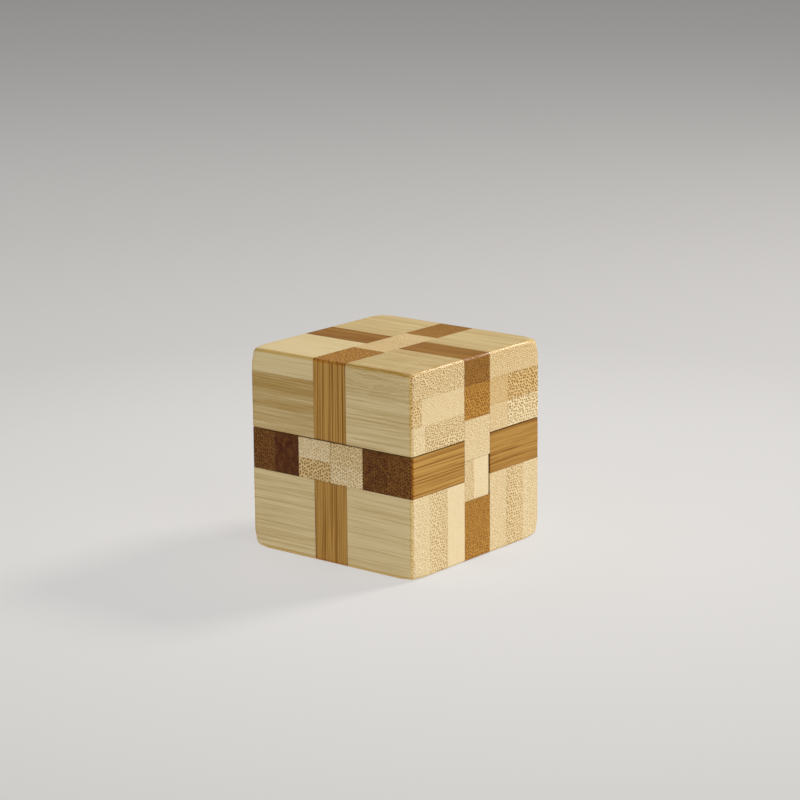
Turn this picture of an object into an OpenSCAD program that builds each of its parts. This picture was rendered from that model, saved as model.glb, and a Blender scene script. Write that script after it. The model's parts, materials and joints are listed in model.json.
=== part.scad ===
// Interlocking burr cube of glued bamboo blocks.
//
// Six puzzle pieces lock into a solid cube. Three pairs of light sticks run through
// the middle, and light corner blocks and dark bars are glued to them, so that every
// face shows a cross of dark bars between light squares.
//
//   upper left, upper right   an upright, a front or back bar, two corners, a side bar
//   lower left, lower right   a cross stick, two rails, two corners, two bars
//   top stick                 a loose stick with two notches underneath
//   key stick                 a plain stick, and the only piece that slides out first
//
// The cube stands on its base with the origin at the centre of the base and +Z up.
// X runs along the key. A half turn about Z swaps the left and right pieces, so each
// pair of blocks shares one module.
//
// Blocks are laid out in half units from the cube's centre. The cube is ten half
// units wide, and a stick is two half units thick.

/* [Cube] */
// Edge of the finished cube
cube_edge = 60; // [40:1:90]
// Radius of the sanded outer edges
edge_r = 1; // [0.5:0.1:3]

/* [Fits] */
// Open seam between the upper and the lower pieces
deck_gap = 0.35; // [0.05:0.01:0.4]
// Clearance where two pieces slide past each other
slide_gap = 0.12; // [0.05:0.01:0.3]
// Clearance under a loose stick
rest_gap = 0.05; // [0.02:0.01:0.1]
// Clearance along the loose side of the key, where a fingernail can move it
key_side_gap = 0.7; // [0.1:0.05:1]

/* [Colours] */
// Light bamboo
light = "#d9b57c";
// Dark, steamed bamboo
dark = "#7d5530";

/* [Hidden] */

half_unit = cube_edge / 10;
half_cube = cube_edge / 2;
// How far a cutting shape reaches past the surface that it cuts
over = 1;
$fn = 64;

// Turns a shape drawn along Z so that it runs along axis 0 (X), 1 (Y) or 2 (Z)
module along(axis) {
    if (axis == 2) children();
    else if (axis == 0) rotate([90, 0, 90]) children();
    else rotate([90, 0, 90]) rotate([90, 0, 90]) children();
}

// What sanding takes off the cube's edge on side a, b of the two axes after axis
module edge_waste(a, b) {
    translate([a * (half_cube - edge_r), b * (half_cube - edge_r), 0])
        difference() {
            translate([a > 0 ? 0 : -edge_r - over, b > 0 ? 0 : -edge_r - over, -half_cube - over])
                cube([edge_r + over, edge_r + over, cube_edge + 2 * over]);
            cylinder(r = edge_r, h = cube_edge + 4 * over, center = true);
        }
}

// True where a block reaches the cube's surface on one side of an axis
function reaches(low, high, side) = side > 0 ? high >= 5 : low <= -5;

// A block between two corners given in half units, with its faces set back by
// low_gap and high_gap, and with the cube's rounded edges where it reaches them
module block(low, high, low_gap = [0, 0, 0], high_gap = [0, 0, 0]) {
    start = low * half_unit + low_gap;
    end = high * half_unit - high_gap;
    difference() {
        translate(start) cube(end - start);
        for (axis = [0:2], a = [-1, 1], b = [-1, 1]) {
            p = (axis + 1) % 3;
            q = (axis + 2) % 3;
            if (reaches(low[p], high[p], a) && reaches(low[q], high[q], b))
                along(axis) edge_waste(a, b);
        }
    }
}

// A notch cut through a block: the same corners, made wider by its clearances
module notch(low, high, low_gap = [0, 0, 0], high_gap = [0, 0, 0]) {
    start = low * half_unit - low_gap;
    end = high * half_unit + high_gap;
    translate(start) cube(end - start);
}

// Lifts a piece from the cube's centre to its place on the base, and gives it the
// half turn about Z that makes a right-hand piece of a left-hand one
module place(turned = false) {
    translate([0, 0, half_cube]) rotate([0, 0, turned ? 180 : 0]) children();
}

// Upright through the middle: stands on the base, and is notched for the two loose
// sticks on its inner side
module upright(turned) {
    place(turned) color(light) difference() {
        block([-1, -2, -5], [1, 0, 5], high_gap = [slide_gap, slide_gap / 2, 0]);
        notch([-2, -1, -2], [2, 1, 2]);
    }
}

// Cross stick from front to back: a square notch round the uprights, a cut for the
// key that leaves a bridge above it, and relief over the other piece's bar
module cross_stick(turned) {
    place(turned) color(light) difference() {
        block([-2, -5, -1], [0, 5, 1], high_gap = [slide_gap / 2, 0, 0]);
        notch([-1, -2, -2], [1, 2, 2], [slide_gap, slide_gap, 0], [0, slide_gap, 0]);
        notch([-3, -1, -2], [0, 1, 0]);
        notch([-1, -6, -2], [1, -2, -1], [slide_gap, 0, 0], [0, 0, slide_gap]);
    }
}

// Loose upper stick: two notches underneath drop over the cross sticks' bridges
module top_stick() {
    place() color(light) difference() {
        block([-5, -1, 0], [5, 1, 2], [0, slide_gap, rest_gap], [0, slide_gap, slide_gap]);
        for (x = [-2, 1])
            notch([x, -2, -1], [x + 1, 2, 1], [slide_gap, 0, 0], [slide_gap, 0, slide_gap]);
    }
}

// Key: plain square stick, slimmer on its loose side
module key_stick() {
    place() color(light)
        block([-5, -1, -2], [5, 1, 0], [0, slide_gap, rest_gap], [0, key_side_gap, slide_gap]);
}

// Corner of the upper piece on its bar's side, glued to that bar and to the upright
module corner_upper_near(turned) {
    place(turned) color(light) block([-5, -5, 1], [-1, -1, 5], [0, 0, deck_gap]);
}

// Corner of the upper piece on the far side
module corner_upper_far(turned) {
    place(turned) color(light) block([-5, 1, 1], [-1, 5, 5], [0, 0, deck_gap]);
}

// Corner of the lower piece beside the other piece's bar
module corner_lower_near(turned) {
    place(turned) color(light)
        block([-5, -5, -5], [-1, -1, -1], high_gap = [slide_gap, 0, 0]);
}

// Corner of the lower piece, glued to its own bar
module corner_lower_far(turned) {
    place(turned) color(light) block([-5, 1, -5], [-1, 5, -1]);
}

// Upright dark bar on the front face, part of the upper piece
module bar_face_upper(turned) {
    place(turned) color(dark)
        block([-1, -5, 1], [1, -2, 5], [0, 0, deck_gap], [slide_gap, 0, 0]);
}

// Upright dark bar on the back face, part of the lower piece
module bar_face_lower(turned) {
    place(turned) color(dark) block([-1, 2, -5], [1, 5, -1], [0, slide_gap, 0]);
}

// Dark bar between the two upper corners of one side
module bar_side_upper(turned) {
    place(turned) color(dark) block([-5, -1, 2], [-1, 1, 5]);
}

// Dark bar between the two lower corners of one side
module bar_side_lower(turned) {
    place(turned) color(dark) block([-5, -1, -5], [-1, 1, -2], high_gap = [slide_gap, 0, 0]);
}

// Dark rail beside the front end of a cross stick
module rail_near(turned) {
    place(turned) color(dark) block([-5, -5, -1], [-2, -1, 1]);
}

// Dark rail beside the back end of a cross stick
module rail_far(turned) {
    place(turned) color(dark) block([-5, 1, -1], [-2, 5, 1]);
}

upright(false);  // upright_front
upright(true);  // upright_back
cross_stick(false);  // cross_stick_left
cross_stick(true);  // cross_stick_right
top_stick();
key_stick();
corner_upper_near(false);  // corner_upper_front_left
corner_upper_far(true);  // corner_upper_front_right
corner_upper_far(false);  // corner_upper_back_left
corner_upper_near(true);  // corner_upper_back_right
corner_lower_near(false);  // corner_lower_front_left
corner_lower_far(true);  // corner_lower_front_right
corner_lower_far(false);  // corner_lower_back_left
corner_lower_near(true);  // corner_lower_back_right
bar_face_upper(false);  // bar_front_upper
bar_face_lower(true);  // bar_front_lower
bar_face_upper(true);  // bar_back_upper
bar_face_lower(false);  // bar_back_lower
bar_side_upper(false);  // bar_left_upper
bar_side_lower(false);  // bar_left_lower
bar_side_upper(true);  // bar_right_upper
bar_side_lower(true);  // bar_right_lower
rail_near(false);  // rail_front_left
rail_far(true);  // rail_front_right
rail_far(false);  // rail_back_left
rail_near(true);  // rail_back_right
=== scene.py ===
"""Looks for the interlocking bamboo puzzle cube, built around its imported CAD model."""

import json
import math
import random
from typing import NamedTuple

import bpy
import numpy as np
from mathutils import Matrix, Vector, noise
from mathutils.bvhtree import BVHTree


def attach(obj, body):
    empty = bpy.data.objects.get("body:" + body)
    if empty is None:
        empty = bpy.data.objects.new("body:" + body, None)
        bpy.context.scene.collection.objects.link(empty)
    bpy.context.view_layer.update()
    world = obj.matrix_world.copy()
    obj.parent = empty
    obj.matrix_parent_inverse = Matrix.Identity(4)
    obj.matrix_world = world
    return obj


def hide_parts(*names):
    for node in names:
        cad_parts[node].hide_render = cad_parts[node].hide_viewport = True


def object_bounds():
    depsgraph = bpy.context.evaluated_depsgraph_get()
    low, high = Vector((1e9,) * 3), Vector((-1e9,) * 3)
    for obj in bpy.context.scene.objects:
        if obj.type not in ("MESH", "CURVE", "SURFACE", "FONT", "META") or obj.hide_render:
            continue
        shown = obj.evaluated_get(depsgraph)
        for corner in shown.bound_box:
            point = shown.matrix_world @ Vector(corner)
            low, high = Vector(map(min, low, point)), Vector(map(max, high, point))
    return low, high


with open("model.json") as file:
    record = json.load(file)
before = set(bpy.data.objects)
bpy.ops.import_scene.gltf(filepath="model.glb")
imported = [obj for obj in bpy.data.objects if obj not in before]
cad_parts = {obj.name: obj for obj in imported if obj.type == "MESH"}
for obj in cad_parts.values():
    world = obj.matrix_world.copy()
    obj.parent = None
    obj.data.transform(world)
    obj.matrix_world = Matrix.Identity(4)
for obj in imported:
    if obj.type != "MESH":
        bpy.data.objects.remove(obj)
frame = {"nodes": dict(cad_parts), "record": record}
cad_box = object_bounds()

# ---------------------------------------------------------------- driving sizes
MM = 0.001
LOW, HIGH = (np.array(corner) / MM for corner in cad_box)
EDGE = float(HIGH[2] - LOW[2])  # the cube's edge, mm
MIDDLE = (LOW + HIGH) / 2  # the cube's middle, mm
CENTRE = Vector((0, 0, EDGE / 2)) * MM  # the same in metres, which the lights and camera face
HALF_UNIT = EDGE / 10  # the blocks' sides lie on a grid of this pitch, less their clearances
AXES = "xyz"
TOLERANCE = 1e-3  # mm
TINY = 1e-9  # keeps a length of nothing from dividing by zero

EDGE_R = 0.8  # radius of the sanded outer edges, mm
CORNER_R = 1.9  # radius of the cube's corners, which were sanded more, mm
CORNER_REACH = (24.5, 28.5)  # from the cube's middle: where that radius starts and is full, mm
EDGE_WEAR = 0.30  # how much more the sanding took off the edges in places, mm
EDGE_WAVES = 1.7  # how much shorter those places are than the unevenness of the faces
SANDING_WAVE = 0.03  # depth of the hand-sanded unevenness of the faces, mm
SANDING_PITCH = 9.0  # length of that unevenness, mm
SANDING_SPREAD = 9  # how far apart in the pattern of it two blocks can lie, in lengths
STICK_ARRIS = 0.35  # eased long edges of a stick, mm
SEAM_ARRIS = 0.02  # eased edge of a block beside a seam, mm
PLY_STEP = 0.03  # how far one ply can stand back from the next, mm
SNUG_REACH = 0.2  # clearances up to this nearly close, as a stick leans on its neighbours, mm
SNUG_SHARE = 0.3  # what is left of such a clearance

MESH_STEP = 1.2  # widest quad of a block, mm
SEAM_BAND = 0.15  # width of the quads beside a seam or a ply line, mm
EDGE_LINES = (0.33, 0.6, 0.8, 1.0, 1.3, 1.6, 1.9)  # mesh lines beside an outer edge, in radii
CREASE = math.radians(35)  # bends sharper than this are shaded as creases

RIM_WIDTH = 0.45  # how far the darkening along a seam reaches, mm
STAIN_WIDTH = (0.6, 1.1)  # from the cube's edges: where the stain starts to fade and ends, mm


# ---------------------------------------------------------------- how each block is laminated
class Strip(NamedTuple):
    """One bamboo strip of a block, and where it lies in shares of the block's section."""

    stack: tuple  # from and to, along the stack of plies
    across: tuple  # from and to, across the ply
    tone: float  # of the long grain, from 0, pale or caramel, to 1, tan or deep brown
    end: float  # the same for the end grain
    dots: float  # how strongly the fibre bundles show on the end grain
    coarse: float = 0.5  # from 0, fine bundles, to 1, coarse ones
    wave: float = 0.0  # how wavy the grain is
    bark: int = 1  # the side of the stack where the bark was, which is denser


class Block(NamedTuple):
    grain: str  # axis along which the fibres run
    stack: str  # axis along which the plies are stacked
    strips: list

    def axes(self):
        """Numbers of the axes along the fibres, along the stack and across the plies."""
        grain, stack = AXES.index(self.grain), AXES.index(self.stack)
        return grain, stack, 3 - grain - stack


def ply(start, stop, *looks):
    """A ply made of one strip, as a list."""
    return [Strip((start, stop), (0, 1), *looks)]


def split_ply(start, stop, at, first, second):
    """A ply made of two strips side by side that meet at a share of its width."""
    return [
        Strip((start, stop), (0, at), *first),
        Strip((start, stop), (at, 1), *second),
    ]


THIRD, TWO_THIRDS, HALF = 1 / 3, 2 / 3, 0.5
BLOCKS = {
    # Light sticks through the middle: tone, end tone, dots, coarseness, wave, bark side
    "top_stick": Block("x", "z", ply(0, 1, 0.2, 0.15, 0.45, 0.1)),
    "key_stick": Block("x", "y", [
        *ply(0, 0.38, 0.3, 0.28, 0.55, 0.4),
        *ply(0.38, 1, 0.1, 0.0, 0.14, 0.5, 0.0, -1),
    ]),
    "cross_stick_left": Block("y", "z", [
        *ply(0, HALF, 0.4, 0.52, 0.95, 0.9),
        *ply(HALF, 1, 0.2, 0.08, 0.5, 0.5),
    ]),
    "cross_stick_right": Block("y", "z", [
        *ply(0, HALF, 0.2, 0.08, 0.6, 0.7),
        *ply(HALF, 1, 0.4, 0.28, 0.75, 0.45),
    ]),
    "upright_front": Block("z", "y", [
        *ply(0, HALF, 0.3, 0.46, 0.4, 0.4),
        *ply(HALF, 1, 0.3, 0.5, 0.45, 0.3),
    ]),
    "upright_back": Block("z", "y", [
        *ply(0, HALF, 0.3, 0.48, 0.4, 0.4),
        *ply(HALF, 1, 0.2, 0.40, 0.4, 0.5),
    ]),
    # Light corners: the upper ones are stacked upwards, and the lower ones sideways
    "corner_upper_front_right": Block("x", "z", [
        *split_ply(0, THIRD, 0.25, (0.25, 0.1, 0.35, 0.6, 0.1), (0.3, 0.18, 0.9, 0.45, 0.1)),
        *split_ply(
            THIRD, TWO_THIRDS, 0.19, (0.28, 0.4, 0.7, 0.7, 0.3), (0.1, 0.18, 0.3, 0.3, 0.3)
        ),
        *ply(TWO_THIRDS, 1, 0.38, 0.24, 0.9, 0.35, 1.3),
    ]),
    "corner_upper_back_right": Block("x", "z", [
        *split_ply(0, THIRD, 0.35, (0.3, 0.3, 0.4, 0.5), (0.2, 0.02, 0.75, 0.9)),
        *split_ply(THIRD, TWO_THIRDS, 0.36, (0.4, 0.58, 0.5, 0.2), (0.4, 0.66, 1.0, 1.0)),
        *ply(TWO_THIRDS, 1, 0.32, 0.34, 0.6, 0.25),
    ]),
    "corner_upper_front_left": Block("x", "z", [
        *ply(0, 0.28, 0.54, 0.3, 0.4, 0.5, 0.1),
        *ply(0.28, 0.55, 0.78, 0.4, 0.7, 0.6, 0.1),
        *ply(0.55, 0.71, 1.0, 0.6, 0.8, 0.6, 0.2, -1),
        *ply(0.71, 1, 0.0, 0.2, 0.5, 0.6, 0.1, -1),
    ]),
    "corner_upper_back_left": Block("x", "z", [
        *split_ply(0, THIRD, 0.6, (0.3, 0.3, 0.6, 0.5), (0.2, 0.2, 0.5, 0.7)),
        *ply(THIRD, TWO_THIRDS, 0.15, 0.1, 0.5, 0.6),
        *ply(TWO_THIRDS, 1, 0.3, 0.3, 0.5, 0.4),
    ]),
    "corner_lower_front_left": Block("x", "y", [
        *ply(0, THIRD, 0.30, 0.2, 0.4, 0.5),
        *split_ply(THIRD, TWO_THIRDS, 0.4, (0.3, 0.3, 0.6, 0.7), (0.1, 0.1, 0.4, 0.4)),
        *ply(TWO_THIRDS, 1, 0.2, 0.2, 0.5, 0.6),
    ]),
    "corner_lower_front_right": Block("x", "y", [
        *ply(0, THIRD, 0.24, 0.08, 0.35, 0.6),
        *ply(THIRD, TWO_THIRDS, 0.3, 0.22, 0.6, 0.6),
        *ply(TWO_THIRDS, 1, 0.1, 0.03, 0.10, 0.3),
    ]),
    "corner_lower_back_left": Block("x", "y", [
        *ply(0, THIRD, 0.2, 0.1, 0.5, 0.6),
        *ply(THIRD, TWO_THIRDS, 0.35, 0.3, 0.6, 0.4),
        *ply(TWO_THIRDS, 1, 0.15, 0.2, 0.35, 0.6, 0.2),
    ]),
    "corner_lower_back_right": Block("x", "y", [
        *ply(0, THIRD, 0.2, 0.19, 0.35, 0.5),
        *ply(THIRD, TWO_THIRDS, 0.3, 0.29, 0.6, 0.8, 0.0, -1),
        *ply(TWO_THIRDS, 1, 0.16, 0.12, 0.35, 0.6),
    ]),
    # Dark bars and rails
    "bar_front_upper": Block("z", "y", [
        *ply(0, HALF, 0.0, 0.10, 1.0, 0.9),
        *ply(HALF, 1, 0.1, 0.14, 1.0, 0.9),
    ]),
    "bar_front_lower": Block("z", "y", [
        *ply(0, HALF, 0.3, 0.3, 0.6, 0.5),
        *ply(HALF, 1, 0.3, 0.3, 0.6, 0.4),
    ]),
    "bar_back_upper": Block("z", "y", [
        *ply(0, HALF, 0.3, 0.34, 0.5, 0.4),
        *ply(HALF, 1, 0.2, 0.38, 0.6, 0.5),
    ]),
    "bar_back_lower": Block("z", "y", [
        *ply(0, HALF, 0.3, 0.4, 0.6, 0.5),
        *ply(HALF, 1, 0.16, 0.35, 0.6, 0.5),
    ]),
    "bar_left_upper": Block("x", "z", [
        *ply(0, HALF, 0.3, 0.35, 0.8, 0.8),
        *ply(HALF, 1, 0.72, 0.45, 0.6, 0.5),
    ]),
    "bar_left_lower": Block("x", "z", [
        *ply(0, HALF, 0.35, 0.3, 0.6, 0.6),
        *ply(HALF, 1, 0.4, 0.5, 0.7, 0.4),
    ]),
    "bar_right_upper": Block("x", "z", [
        *ply(0, 0.55, 0.26, 0.10, 0.85, 0.6),
        *ply(0.55, 1, 0.64, 0.46, 0.8, 0.4),
    ]),
    "bar_right_lower": Block("x", "z", ply(0, 1, 0.28, 0.16, 0.7, 0.5)),
    "rail_front_left": Block("y", "x", [
        *ply(0, HALF, 0.3, 0.74, 0.9, 1.0, 0.0, -1),
        *ply(HALF, 1, 0.3, 0.92, 0.4, 0.6),
    ]),
    "rail_front_right": Block("y", "x", [
        *ply(0, HALF, 0.3, 0.80, 0.9, 0.9),
        *ply(HALF, 1, 0.0, 0.74, 0.9, 0.9, 0.05),
    ]),
    "rail_back_left": Block("y", "x", [
        *ply(0, HALF, 0.2, 0.6, 0.8, 0.7),
        *ply(HALF, 1, 0.3, 0.7, 0.7, 0.6),
    ]),
    "rail_back_right": Block("y", "x", [
        *ply(0, HALF, 0.3, 0.7, 0.7, 0.6),
        *ply(HALF, 1, 0.28, 0.6, 0.7, 0.8, 0.05),
    ]),
}

# How dark the seams round a block are on the cube's faces: dirt, and painted shade in the gaps
SEAM_DIRT_AND_SHADE = {
    "bar_front_upper": 0.3, "bar_front_lower": 0.3, "bar_back_upper": 0.3, "bar_back_lower": 0.3,
    "rail_front_left": 0.5, "rail_front_right": 0.5, "rail_back_left": 0.4, "rail_back_right": 0.4,
    "cross_stick_left": 0.2, "cross_stick_right": 0.2, "key_stick": 0.2,
}
LEAST_DIRT_AND_SHADE = 0.1  # the same round the other blocks
GAP_DIRT_AND_SHADE = 0.15  # and on the faces inside the cube, apart from the key's: dirt and painted shade in the gaps
LIGHT_STICKS = (
    "upright_front", "upright_back", "cross_stick_left", "cross_stick_right",
    "top_stick", "key_stick",
)


# ---------------------------------------------------------------- block meshes
def on_cube(k, value):
    """True where a plane across an axis is one of the cube's own faces."""
    return min(abs(value - LOW[k]), abs(value - HIGH[k])) < TOLERANCE


def cad_stops(name):
    """Where the flat faces of a CAD block lie along each axis, mm."""
    points = np.array([v.co for v in frame["nodes"][name].data.vertices]) / MM
    rounded = EDGE_R + 10 * TOLERANCE
    stops = []
    for k in range(3):
        values = points[:, k]
        away = (values > LOW[k] + rounded) & (values < HIGH[k] - rounded)
        stops.append(np.unique(np.round([*values[away], values.min(), values.max()], 3)))
    return stops


def snug(k, stops):
    """The stops of one axis with the sliding clearances partly closed."""
    unit = np.round((stops - MIDDLE[k]) / HALF_UNIT) * HALF_UNIT + MIDDLE[k]
    gap = stops - unit
    return np.where(np.abs(gap) < SNUG_REACH, unit + gap * SNUG_SHARE, stops)


def cad_cells(name, stops):
    """Which of the cells between those stops are inside the CAD block."""
    mesh = frame["nodes"][name].data
    faces = [p.vertices for p in mesh.polygons]
    tree = BVHTree.FromPolygons([v.co for v in mesh.vertices], faces)
    middles = [(line[1:] + line[:-1]) / 2 for line in stops]
    solid = np.zeros([len(line) for line in middles], bool)
    for cell in np.ndindex(solid.shape):
        point = Vector([middles[k][cell[k]] for k in range(3)]) * MM
        nearest, normal, *_ = tree.find_nearest(point)
        solid[cell] = (nearest - point).dot(normal) > 0
    return solid


def lattice_lines(k, stops, ply_lines):
    """Mesh lines along one axis: the stops, narrow bands beside them, and even steps."""
    lines = [*stops]
    wanted = [stop + side * SEAM_BAND for stop in ply_lines for side in (-1, 0, 1)]
    for stop in stops:
        bands = (SEAM_BAND, RIM_WIDTH)
        if on_cube(k, stop):
            bands = [EDGE_R * share for share in EDGE_LINES]
        wanted += [stop + side * band for band in bands for side in (-1, 1)]
    for line in wanted:
        clear = min(abs(line - other) for other in lines) > SEAM_BAND / 2
        if stops[0] < line < stops[-1] and clear:
            lines.append(line)
    lines.sort()
    even = []
    for start, stop in zip(lines, lines[1:]):
        count = math.ceil((stop - start) / MESH_STEP)
        even += [start + (stop - start) * i / count for i in range(count)]
    return np.array([*even, lines[-1]])


def shell(solid):
    """Quads round the solid cells of a lattice: corner numbers, and the cell behind each."""
    number = np.arange(np.prod(np.add(solid.shape, 1))).reshape(np.add(solid.shape, 1))
    quads, cells = [], []
    for k in range(3):
        order = [k, (k + 1) % 3, (k + 2) % 3]
        corner = np.transpose(number, order)
        filled = np.pad(np.transpose(solid, order), ((1, 1), (0, 0), (0, 0)))
        before, after = filled[:-1], filled[1:]
        for side, facing in ((1, before & ~after), (0, after & ~before)):
            i, a, b = np.nonzero(facing)
            loop = [
                corner[i, a, b], corner[i, a + 1, b],
                corner[i, a + 1, b + 1], corner[i, a, b + 1],
            ]
            quads.append(np.stack(loop if side else loop[::-1], 1))
            cell = np.zeros((len(i), 3), int)
            cell[:, order] = np.stack((i - side, a, b), 1)
            cells.append(cell)
    return np.concatenate(quads), np.concatenate(cells)


def ease_long_edges(points, low, high, grain):
    """Rounds a stick's four long edges: squares round its core become circles."""
    across = [k for k in range(3) if k != grain]
    core = np.clip(points[:, across], low[across] + STICK_ARRIS, high[across] - STICK_ARRIS)
    offset = points[:, across] - core
    reach = np.abs(offset).max(1)
    length = np.maximum(np.linalg.norm(offset, axis=1), TINY)
    points[:, across] = core + offset * (reach / length)[:, None]


def round_outside(points):
    """Rounds the cube's outer edges. Returns the way out of the cube at each of its points."""
    offset = points - MIDDLE
    start, full = CORNER_REACH
    corner = np.clip((np.abs(offset).min(1) - start) / (full - start), 0, 1)
    radius = EDGE_R + (CORNER_R - EDGE_R) * corner * corner * (3 - 2 * corner)
    inner = (EDGE / 2 - radius)[:, None]
    core = np.clip(offset, -inner, inner)
    over = offset - core
    reach = np.abs(over).max(1)
    length = np.maximum(np.linalg.norm(over, axis=1), TINY)
    outward = over / length[:, None]
    points[:] = MIDDLE + core + outward * reach[:, None]
    outward[reach < radius - TOLERANCE] = 0
    return outward


def edge_stain(flat):
    """How stained by handling each point of the cube's surface is, by how near an edge it is."""
    gaps = np.sort(np.minimum(flat - LOW, HIGH - flat), axis=1)
    from_edge = gaps[:, 1]  # the nearest side is the one that the point is on
    full, ends = STAIN_WIDTH
    return np.clip((ends - from_edge) / (ends - full), 0, 1)


def seam_distance(flat, low, high):
    """How far each point is from the nearest side that its block shares with another, mm."""
    distance = np.full(len(flat), EDGE)
    for k in range(3):
        for side in (low[k], high[k]):
            if not on_cube(k, side):
                distance = np.minimum(distance, np.abs(flat[:, k] - side))
    return distance


def wear(flat, outward, seed):
    """How far sanding went below each point of the cube's surface, mm."""
    shift = Vector((seed, 2 * seed, 3 * seed))
    depth = np.zeros(len(flat))
    for i in np.nonzero(outward.any(1))[0]:
        place = Vector(flat[i]) / SANDING_PITCH
        edge = 1 - np.abs(outward[i]).max()
        depth[i] = SANDING_WAVE * (0.5 + 0.5 * noise.noise(place + shift))
        depth[i] += EDGE_WEAR * edge * (1 + noise.noise(place * EDGE_WAVES))
    return depth


def block_lines(block, stops):
    """Mesh lines along each axis, with one wherever the CAD block or its lamination changes."""
    _, stack, across = block.axes()
    ply_lines = [set(), set(), set()]
    for strip in block.strips:
        for k, shares in ((stack, strip.stack), (across, strip.across)):
            span = stops[k][-1] - stops[k][0]
            ply_lines[k].update(stops[k][0] + span * share for share in shares)
    return [lattice_lines(k, stops[k], sorted(ply_lines[k])) for k in range(3)]


def strip_numbers(block, share):
    """Which strip holds each place, given in shares of the block's sides."""
    _, stack, across = block.axes()
    number = np.zeros(len(share), int)
    for i, strip in enumerate(block.strips):
        inside = np.ones(len(share), bool)
        for k, (start, stop) in ((stack, strip.stack), (across, strip.across)):
            inside &= (share[:, k] > start) & (share[:, k] < stop)
        number[inside] = i
    return number


def glue_nearness(block, share, span, bounds):
    """How near each place is to a glue line of its strip: 1 on it, and 0 a band away."""
    _, stack, across = block.axes()
    distance = np.full(len(share), EDGE)
    for column, k in enumerate((stack, stack, across, across)):
        bound = bounds[:, column]
        gap = np.abs(share[:, k] - bound) * span[k]
        glued = (bound > 0) & (bound < 1)
        distance = np.where(glued, np.minimum(distance, gap), distance)
    return np.clip(1 - distance / SEAM_BAND, 0, 1)


def write_corners(mesh, title, *columns):
    """Adds an attribute with one value or three for each face corner."""
    kind, field = ("FLOAT_VECTOR", "vector") if len(columns) == 3 else ("FLOAT", "value")
    values = np.stack(columns, 1).astype(np.float32).ravel()
    mesh.attributes.new(title, kind, "CORNER").data.foreach_set(field, values)


def block_mesh(name, block):
    """Mesh of one block, with attributes that tell its material which strip each face is of."""
    rng = random.Random(name)
    grain, stack, _ = block.axes()

    # A lattice of lines fills the CAD block, and its skin is the mesh
    stops = cad_stops(name)
    solid = cad_cells(name, stops)
    if name in LIGHT_STICKS:
        stops = [snug(k, stops[k]) for k in range(3)]
    low = np.array([line[0] for line in stops])
    high = np.array([line[-1] for line in stops])
    span = high - low
    lines = block_lines(block, stops)
    middles = [(line[1:] + line[:-1]) / 2 for line in lines]
    solid = solid[np.ix_(*[np.searchsorted(stops[k], middles[k]) - 1 for k in range(3)])]
    quads, cells = shell(solid)
    used, loops = np.unique(quads, return_inverse=True)
    loops = loops.reshape(-1)
    index = np.unravel_index(used, [len(line) for line in lines])
    flat = np.stack([lines[k][index[k]] for k in range(3)], 1)

    # A quad belongs to the strip that holds the middle of the cell behind it
    cell_middles = np.stack([middles[k][cells[:, k]] for k in range(3)], 1)
    strip_of = np.repeat(strip_numbers(block, (cell_middles - low) / span), 4)
    strip_of_point = np.zeros(len(flat), int)
    strip_of_point[loops] = strip_of

    # Shape: eased sticks, rounded outer edges, eased seams, and what sanding took off
    points = flat.copy()
    if name in LIGHT_STICKS:
        ease_long_edges(points, low, high, grain)
    outward = round_outside(points)
    seam = seam_distance(flat, low, high)
    recess = np.array([rng.uniform(0, PLY_STEP) for _ in block.strips])
    sanded = wear(flat, outward, rng.uniform(0, SANDING_SPREAD))
    depth = np.maximum(SEAM_ARRIS - seam, 0) + sanded + recess[strip_of_point]
    points -= outward * depth[:, None]
    mesh = bpy.data.meshes.new(name)
    mesh.from_pydata(points * MM, [], loops.reshape(-1, 4))
    mesh.polygons.foreach_set("use_smooth", np.ones(len(quads), bool))
    mesh.set_sharp_from_angle(angle=CREASE)

    # What the material reads at each face corner: how its strip looks, how near the corner
    # is to the strip's bark side and to its glue lines, how dark its seams are with dirt and
    # painted shade, and how stained it is
    looks = np.array([(p.tone, p.end, p.dots, p.coarse, p.wave) for p in block.strips])[strip_of]
    seeds = np.array([rng.random() for _ in block.strips])[strip_of]
    bounds = np.array([(*p.stack, *p.across) for p in block.strips])[strip_of]
    side = np.array([p.bark for p in block.strips])[strip_of]
    share = (flat[loops] - low) / span
    bark = (share[:, stack] - bounds[:, 0]) / (bounds[:, 1] - bounds[:, 0])
    bark = np.where(side > 0, bark, 1 - bark)
    outside = outward.any(1)[loops].reshape(-1, 4).all(1).repeat(4)
    # Seams are painted darker on the cube's faces for dirt and the shade in the gaps, and faces
    # inside the cube are painted darker as well
    dirt_and_shade = np.clip(1 - seam[loops] / RIM_WIDTH, 0, 1) ** 2 * SEAM_DIRT_AND_SHADE.get(name, LEAST_DIRT_AND_SHADE)
    dirt_and_shade = np.where(outside, dirt_and_shade, 0 if name == "key_stick" else GAP_DIRT_AND_SHADE)
    write_corners(mesh, "look", looks[:, 0], looks[:, 1], looks[:, 2])
    write_corners(mesh, "figure", looks[:, 3], looks[:, 4], bark)
    write_corners(mesh, "place", seeds, dirt_and_shade, glue_nearness(block, share, span, bounds))
    write_corners(mesh, "stain", np.where(outside, edge_stain(flat)[loops], 0))
    return mesh


# ---------------------------------------------------------------- bamboo
def srgb(red, green, blue):
    """A colour given as 0 to 255 values, made linear."""
    channels = [c / 255 for c in (red, green, blue)]
    linear = [c / 12.92 if c < 0.04045 else ((c + 0.055) / 1.055) ** 2.4 for c in channels]
    return (*linear, 1)


# Fibre bundles on the end grain
ROW = 0.866  # height of a row of a honeycomb, in shares of its pitch
SCATTER = 0.52  # from 0, a perfect honeycomb, to 1, bundles anywhere
SMALL_BUNDLES = (0.66, 0.185)  # pitch and radius near the bark, mm
LARGE_BUNDLES = (0.96, 0.28)  # the same far from it
BUNDLE_RIM = (0.55, 1.35)  # where a bundle's soft outline starts and ends, in radii

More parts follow.
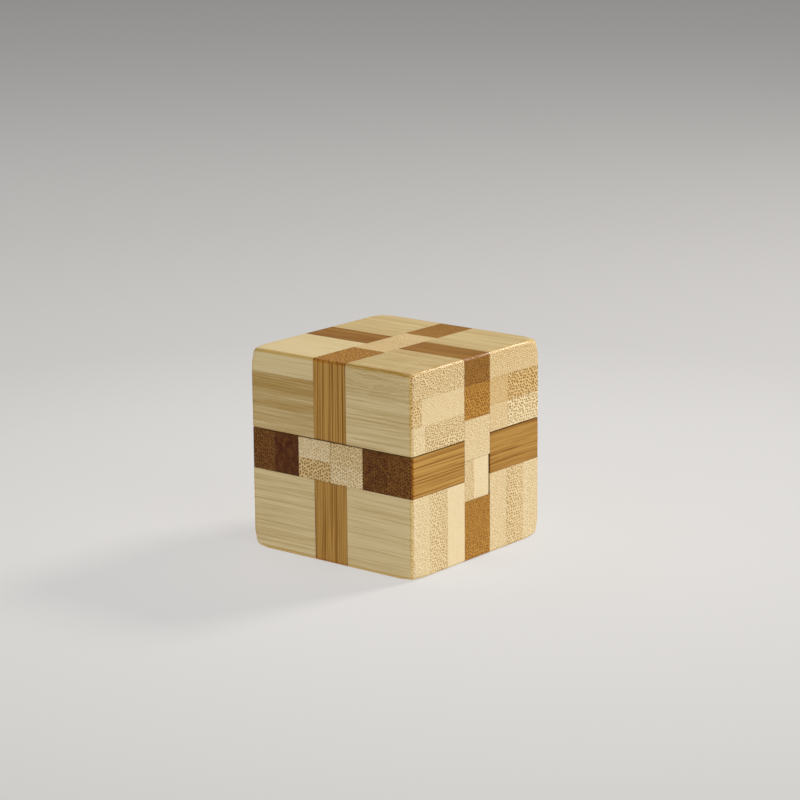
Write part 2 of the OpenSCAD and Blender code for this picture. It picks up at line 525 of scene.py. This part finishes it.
# Patterns in the wood: waves in a mm along and across the fibres, and levels of detail
DRIFT = (0.016, 0.05, 1.0)  # the slow wandering of the fibres
BEND = (0.11, 0.22, 2.0)  # their shorter waves
PATCH = (0.01, 0.35, 1.0)  # where bundles are larger or smaller
RAGGED = (0.05, 1.3, 1.0)  # the bundles' uneven outlines
HAIR = (0.04, 2.6, 3.0)  # single fibres
BAND = (0.006, 0.42, 2.0)  # broad pale and deep bands
LINE = (0.012, 2.0, 1.0)  # thin dark streaks
STRAND = (0.02, 0.9, 1.0)  # where bundles show as streaks along the grain
MOTTLE = (0.5, 0.5, 3.0)  # clouds on the end grain
SMEAR = (0.09, 0.13, 3.0)  # uneven gloss
STRIP_OFFSETS = (910, 370, 530)  # how far apart in these patterns two strips can lie, mm
DRIFT_SIZE = 1.8  # how far the fibres wander, mm
BEND_SIZE = (0.08, 1.6)  # size of their waves, and how much larger a wave of 1 makes it, mm
RELIEF = 0.04  # height of the fibres and depth of the cut bundles, mm


class Shader:
    """Adds nodes to a material. Each input is another node's output or a plain value."""

    def __init__(self, name):
        self.material = bpy.data.materials.new(name)
        self.material.use_nodes = True
        self.tree = self.material.node_tree
        self.tree.nodes.clear()

    def add(self, kind, inputs, output=0, **settings):
        node = self.tree.nodes.new("ShaderNode" + kind)
        for key, value in settings.items():
            setattr(node, key, value)
        for key, value in inputs.items():
            if isinstance(value, bpy.types.NodeSocket):
                self.tree.links.new(value, node.inputs[key])
            else:
                node.inputs[key].default_value = value
        return node.outputs[output] if node.outputs else None

    def attribute(self, name, output):
        return self.add("Attribute", {}, output, attribute_name=name)

    def math(self, operation, a, b=0.0, c=0.0):
        return self.add("Math", {0: a, 1: b, 2: c}, operation=operation)

    def sum(self, *terms):
        """The sum of (value, weight) pairs."""
        total = 0.0
        for value, weight in terms:
            total = self.math("MULTIPLY_ADD", value, weight, total)
        return total

    def step(self, value, start, stop):
        """0 below start and 1 above stop, with a smooth change between."""
        ends = {"Value": value, "From Min": start, "From Max": stop}
        return self.add("MapRange", ends, interpolation_type="SMOOTHSTEP")

    def mix(self, share, first, second, blend="MIX"):
        inputs = {0: share, 6: first, 7: second}
        return self.add("Mix", inputs, 2, data_type="RGBA", blend_type=blend)

    def axes(self, vector):
        """The three parts of a vector."""
        node = self.add("SeparateXYZ", {0: vector}).node
        return [node.outputs[k] for k in range(3)]

    def scaled(self, vector, x, y, z):
        product = {0: vector, 1: (x, y, z)}
        return self.add("VectorMath", product, operation="MULTIPLY")

    def pattern(self, vector, along, across, detail, output="Fac", roughness=0.5):
        """One of the patterns in the wood, in a space whose x runs along the fibres."""
        vector = self.scaled(vector, along, across, across)
        inputs = {"Vector": vector, "Scale": 1.0, "Detail": detail, "Roughness": roughness}
        return self.add("TexNoise", inputs, output)

    def spots(self, v, w, pitch, radius):
        """Round spots on the v, w plane, staggered as in a honeycomb: 1 inside a spot."""
        row = self.math("DIVIDE", w, pitch * ROW)
        column = self.sum((v, 1 / pitch), (row, -0.5))
        place = self.add("CombineXYZ", {0: column, 1: row})
        inputs = {"Vector": place, "Scale": 1.0, "Randomness": SCATTER}
        cell = self.add("TexVoronoi", inputs, "Position", voronoi_dimensions="2D")
        column, row, _ = self.axes(cell)
        across = self.sum((column, pitch), (row, 0.5 * pitch), (v, -1.0))
        along = self.sum((row, ROW * pitch), (w, -1.0))
        squares = self.math("MULTIPLY_ADD", along, along, self.math("MULTIPLY", across, across))
        distance = self.math("SQRT", squares)
        start, stop = (radius * share for share in BUNDLE_RIM)
        return self.math("SUBTRACT", 1.0, self.step(distance, start, stop))


class Finish(NamedTuple):
    """Colours of one kind of bamboo."""

    long_pale: tuple
    long_deep: tuple
    streak: tuple
    end_pale: tuple
    end_deep: tuple
    bundle: tuple  # what a fibre bundle multiplies the end grain's colour by
    worn: tuple  # what the stain of handling multiplies the colour by along the cube's edges
    contrast: float  # of the dark streaks in the long grain
    polish: float  # how much smoother the rounded edges are


FINISHES = {
    "light_bamboo": Finish(
        long_pale=srgb(231, 209, 159), long_deep=srgb(184, 150, 84),
        end_pale=srgb(241, 220, 176), end_deep=srgb(213, 172, 98),
        streak=srgb(168, 131, 50), bundle=srgb(168, 134, 12), worn=srgb(242, 222, 164),
        contrast=0.6, polish=0.26,
    ),
    "dark_bamboo": Finish(
        long_pale=srgb(197, 151, 76), long_deep=srgb(146, 97, 26),
        end_pale=srgb(197, 145, 64), end_deep=srgb(80, 30, 2),
        streak=srgb(132, 78, 6), bundle=srgb(170, 132, 0), worn=srgb(246, 214, 130),
        contrast=2.2, polish=0.16,
    ),
}
SEAM_DIRT_AND_SHADE_TINT = srgb(136, 90, 46)  # what dirt and painted shade multiply the colour by in a seam, and glue lines too


def fibre_space(s, position, grain, seed, wave):
    """The straight and the wavy space of a strip, in mm, with x along its fibres."""
    parts = s.axes(s.scaled(position, 1 / MM, 1 / MM, 1 / MM))
    u, v, w = (
        s.math("MULTIPLY_ADD", seed, offset, parts[(grain + k) % 3])
        for k, offset in enumerate(STRIP_OFFSETS)
    )
    straight = s.add("CombineXYZ", {0: u, 1: v, 2: w})
    drift_v, drift_w, _ = s.axes(s.pattern(straight, *DRIFT, "Color"))
    bend_v, bend_w, _ = s.axes(s.pattern(straight, *BEND, "Color"))
    least, more = BEND_SIZE
    size = s.math("MULTIPLY_ADD", wave, more, least)
    v = s.sum((v, 1.0), (drift_v, DRIFT_SIZE), (s.math("MULTIPLY", bend_v, size), 1.0))
    w = s.sum((w, 1.0), (drift_w, DRIFT_SIZE), (s.math("MULTIPLY", bend_w, size), 1.0))
    return straight, s.add("CombineXYZ", {0: u, 1: v, 2: w})


def fibre_bundles(s, fibres, coarse, bark):
    """Fibre bundles: small and dense on the bark side of a ply, larger and sparser inside."""
    patch = s.pattern(fibres, *PATCH)
    share = s.step(s.sum((coarse, 1.0), (bark, -0.45), (patch, 0.6)), 0.35, 0.75)
    _, v, w = s.axes(fibres)
    ragged_v, ragged_w, _ = s.axes(s.pattern(fibres, *RAGGED, "Color"))
    v, w = s.sum((ragged_v, 0.30), (v, 1.0)), s.sum((ragged_w, 0.30), (w, 1.0))
    small, large = s.spots(v, w, *SMALL_BUNDLES), s.spots(v, w, *LARGE_BUNDLES)
    small_part, large_part = s.math("MULTIPLY", small, share), s.math("MULTIPLY", large, share)
    return s.sum((small, 1.0), (small_part, -1.0), (large_part, 1.0))


def long_grain(s, finish, fibres, tone, bark, bundle, hair, line):
    """Colour of the faces along the fibres."""
    # The ground is deeper in bands, between fibres, and close to the bark
    dense = s.math("POWER", bark, 3.0)
    band = s.pattern(fibres, *BAND)
    deep = s.sum((tone, 1.0), (band, 0.75), (hair, 0.55), (dense, 0.25), (-0.78, 1.0))
    ground = s.mix(s.math("MAXIMUM", deep, 0.0), finish.long_pale, finish.long_deep)

    # The streaks are thin dark lines and the bundles, seen from the side
    strand = s.step(s.pattern(fibres, *STRAND), 0.32, 0.55)
    dark = s.sum((line, 0.55), (s.math("MULTIPLY", bundle, strand), 0.75))
    dark = s.math("MULTIPLY", dark, s.sum((tone, 0.4), (0.4, finish.contrast)))
    return s.mix(dark, ground, finish.streak)


def end_grain(s, finish, fibres, tone, dots, bark, bundle):
    """Colour of the faces across the fibres."""
    _, v, w = s.axes(fibres)
    mottle = s.pattern(s.add("CombineXYZ", {0: v, 1: w}), *MOTTLE)
    deep = s.sum((tone, 1.0), (mottle, 0.5), (-0.25, 1.0))
    ground = s.mix(s.math("MAXIMUM", deep, 0.0), finish.end_pale, finish.end_deep)
    dot = s.math("MULTIPLY", dots, s.math("MULTIPLY_ADD", bark, 0.55, 1.0))
    return s.mix(s.math("MULTIPLY", bundle, dot), ground, finish.bundle, "MULTIPLY")


def stained(s, finish, colour, stain, end, hair, cut_bundle):
    """A colour with the stain of handling, which dirties long grain and torn bundles most."""
    fresh = s.math("MULTIPLY", stain, s.math("MULTIPLY_ADD", end, -0.75, 1.0))
    fresh = s.math("MULTIPLY", fresh, s.math("MULTIPLY_ADD", hair, 0.5, 0.6))
    share = s.math("MULTIPLY_ADD", s.math("MULTIPLY", stain, cut_bundle), 0.7, fresh)
    return s.mix(share, colour, finish.worn, "MULTIPLY")


def rounded_edge(s, facing):
    """1 on rounded edges, and 0 where the surface faces along an axis."""
    x, y, z = (s.math("ABSOLUTE", part) for part in facing)
    flat = s.math("MAXIMUM", s.math("MAXIMUM", x, y), z)
    return s.math("SUBTRACT", 1.0, s.step(flat, 0.72, 0.95))


def bamboo(slot, grain):
    """Bamboo with its fibres along one axis."""
    finish = FINISHES[slot]
    s = Shader(f"{slot}_{AXES[grain]}")
    coordinates = s.add("TexCoord", {}).node
    facing = s.axes(coordinates.outputs["Normal"])
    tone, end_tone, dots = s.axes(s.attribute("look", "Vector"))
    coarse, wave, bark = s.axes(s.attribute("figure", "Vector"))
    seed, dirt_and_shade, glue = s.axes(s.attribute("place", "Vector"))
    stain = s.attribute("stain", "Fac")

    # Colour: which grain shows depends on the way the surface faces, also round its edges
    straight, fibres = fibre_space(s, coordinates.outputs["Object"], grain, seed, wave)
    bundle = fibre_bundles(s, fibres, coarse, bark)
    hair = s.step(s.pattern(fibres, *HAIR, roughness=0.65), 0.30, 0.72)
    line = s.step(s.pattern(fibres, *LINE), 0.58, 0.70)
    end = s.step(s.math("ABSOLUTE", facing[grain]), 0.45, 0.80)
    along = long_grain(s, finish, fibres, tone, bark, bundle, hair, line)
    across = end_grain(s, finish, fibres, end_tone, dots, bark, bundle)
    cut_bundle = s.math("MULTIPLY", bundle, dots)
    colour = stained(s, finish, s.mix(end, along, across), stain, end, hair, cut_bundle)
    # Seams are darkened with dirt and painted shade, and glue lines with their own dark colour
    colour = s.mix(s.sum((dirt_and_shade, 1.0), (glue, 0.15)), colour, SEAM_DIRT_AND_SHADE_TINT, "MULTIPLY")

    # Gloss and relief
    smear = s.pattern(straight, *SMEAR)
    roughness = s.sum(
        (smear, 0.22), (hair, 0.12), (end, 0.08), (rounded_edge(s, facing), -finish.polish),
        (0.24, 1.0),
    )
    cut = s.math("MULTIPLY", end, cut_bundle)
    relief = s.sum((hair, 0.55), (line, -0.35), (cut, -0.4), (glue, -0.8))
    bump = s.add("Bump", {"Height": relief, "Distance": RELIEF * MM, "Strength": 1.0})
    body = s.add("BsdfPrincipled", {
        "Base Color": colour, "Roughness": roughness, "Normal": bump,
        "IOR": 1.45, "Specular IOR Level": 0.11,
        "Coat Weight": 0.06, "Coat Roughness": 0.3, "Coat IOR": 1.5,
    })
    s.add("OutputMaterial", {"Surface": body})
    return s.material


# ---------------------------------------------------------------- pieces
record = frame["record"]
slot_of = {part["node"]: part["material_slot"] for part in record["subparts"]}
body_of = {}
for body, nodes in record["behaviour"]["bodies"].items():
    body_of.update(dict.fromkeys(nodes, body))

materials = {}
for name, block in BLOCKS.items():
    slot, (grain, *_) = slot_of[name], block.axes()
    if (slot, grain) not in materials:
        materials[slot, grain] = bamboo(slot, grain)
    mesh = block_mesh(name, block)
    mesh.materials.append(materials[slot, grain])
    piece = bpy.data.objects.new(name + "_wood", mesh)
    bpy.context.scene.collection.objects.link(piece)
    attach(piece, body_of[name])
    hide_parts(name)


# ---------------------------------------------------------------- camera
AZIMUTH, ELEVATION, ROLL = (math.radians(angle) for angle in (39.06, 13.59, -0.50))
DISTANCE = 777.1 * MM  # from the cube's middle, along the view
ASIDE, ABOVE = 1.08 * MM, 12.36 * MM  # how far the camera stands right of and above that line
SENSOR, LENS = 36, 118.79  # mm
back = Vector((
    math.sin(AZIMUTH) * math.cos(ELEVATION),
    -math.cos(AZIMUTH) * math.cos(ELEVATION),
    math.sin(ELEVATION),
))
right = Vector((math.cos(AZIMUTH), math.sin(AZIMUTH), 0))
up = back.cross(right)
right, up = (
    right * math.cos(ROLL) + up * math.sin(ROLL),
    up * math.cos(ROLL) - right * math.sin(ROLL),
)
camera = bpy.data.objects.new("camera", bpy.data.cameras.new("camera"))
camera.data.sensor_width = SENSOR
camera.data.lens = LENS
camera.data.clip_start = 0.01
camera.data.clip_end = 50
turn = Matrix((right, up, back)).transposed().to_4x4()
place = CENTRE + ASIDE * right + ABOVE * up + DISTANCE * back
camera.matrix_world = Matrix.Translation(place) @ turn
bpy.context.scene.collection.objects.link(camera)
bpy.context.scene.camera = camera


# ---------------------------------------------------------------- floor and light
def area_light(name, position, size, watts, colour=(1, 1, 1)):
    """A rectangular softbox that faces the cube."""
    light = bpy.data.lights.new(name, "AREA")
    light.shape = "RECTANGLE"
    light.size, light.size_y = size
    light.energy = watts
    light.color = colour
    lamp = bpy.data.objects.new(name, light)
    lamp.location = position
    lamp.rotation_euler = (Vector(position) - CENTRE).to_track_quat("Z", "Y").to_euler()
    bpy.context.scene.collection.objects.link(lamp)


FLOOR_HALF = 6.0  # m
PAINTED_LIGHT_REACH = 2.0  # how far from the cube the painted pool of light on the floor keeps fading, m
PAINTED_FLOOR_LIGHT = (  # share of that way, and the painted light's shade on the paper there from 0 to 255
    (0.0, 229), (0.09, 216), (0.14, 205), (0.28, 194), (0.75, 172), (1.0, 163),
)
PAINTED_FLOOR_GLOW = 0.68  # how much of its painted light the paper gives by itself, glowing as if lit evenly though it is no lamp
FLOOR_MATT = 0.32  # how much it gives back of the light that falls on it
SKY, SKY_STRENGTH = (0.96, 0.96, 0.97, 1), 0.22

floor_mesh = bpy.data.meshes.new("floor")
corners = [(x * FLOOR_HALF, y * FLOOR_HALF, 0) for x, y in ((-1, -1), (1, -1), (1, 1), (-1, 1))]
floor_mesh.from_pydata(corners, [], [(0, 1, 2, 3)])
floor = bpy.data.objects.new("floor", floor_mesh)
bpy.context.scene.collection.objects.link(floor)
paper = Shader("floor_paper")
spot = paper.scaled(paper.add("TexCoord", {}, "Object"), 1, 1, 0)
away = paper.add("VectorMath", {0: spot}, "Value", operation="LENGTH")
# The floor's colour fades away from the cube: a painted pool of light, which the paper both glows
# with and reflects
painted_pool = paper.add("ValToRGB", {0: paper.math("DIVIDE", away, PAINTED_LIGHT_REACH)})
ramp = painted_pool.node.color_ramp.elements
for share, _ in PAINTED_FLOOR_LIGHT[1:-1]:
    ramp.new(share)
for stop, (_, shade) in zip(ramp, PAINTED_FLOOR_LIGHT):
    stop.color = srgb(shade, shade - 2, shade - 4)
# The paper glows with its painted light, which keeps the cube's shadows on it faint
painted_glow = paper.add("Emission", {"Color": painted_pool, "Strength": PAINTED_FLOOR_GLOW})
matt = paper.add("BsdfDiffuse", {"Color": paper.scaled(painted_pool, *[FLOOR_MATT] * 3)})
both = paper.add("AddShader", {0: painted_glow, 1: matt})
paper.add("OutputMaterial", {"Surface": both})
floor_mesh.materials.append(paper.material)

world = bpy.data.worlds.new("studio")
world.use_nodes = True
sky = world.node_tree.nodes["Background"].inputs
sky["Color"].default_value = SKY
sky["Strength"].default_value = SKY_STRENGTH
bpy.context.scene.world = world
area_light("right_softbox", (0.75, -0.10, 0.35), (0.7, 0.7), 3.1)
area_light("back_softbox", (0.25, 0.73, 0.62), (0.24, 0.18), 7.6, (1, 0.97, 0.91))
area_light("left_fill", (-0.66, 0.22, 0.62), (0.6, 0.6), 1.0)
area_light("front_fill", (-0.25, -0.95, 0.45), (0.9, 0.7), 2.2)
bpy.context.scene.view_settings.view_transform = "Standard"
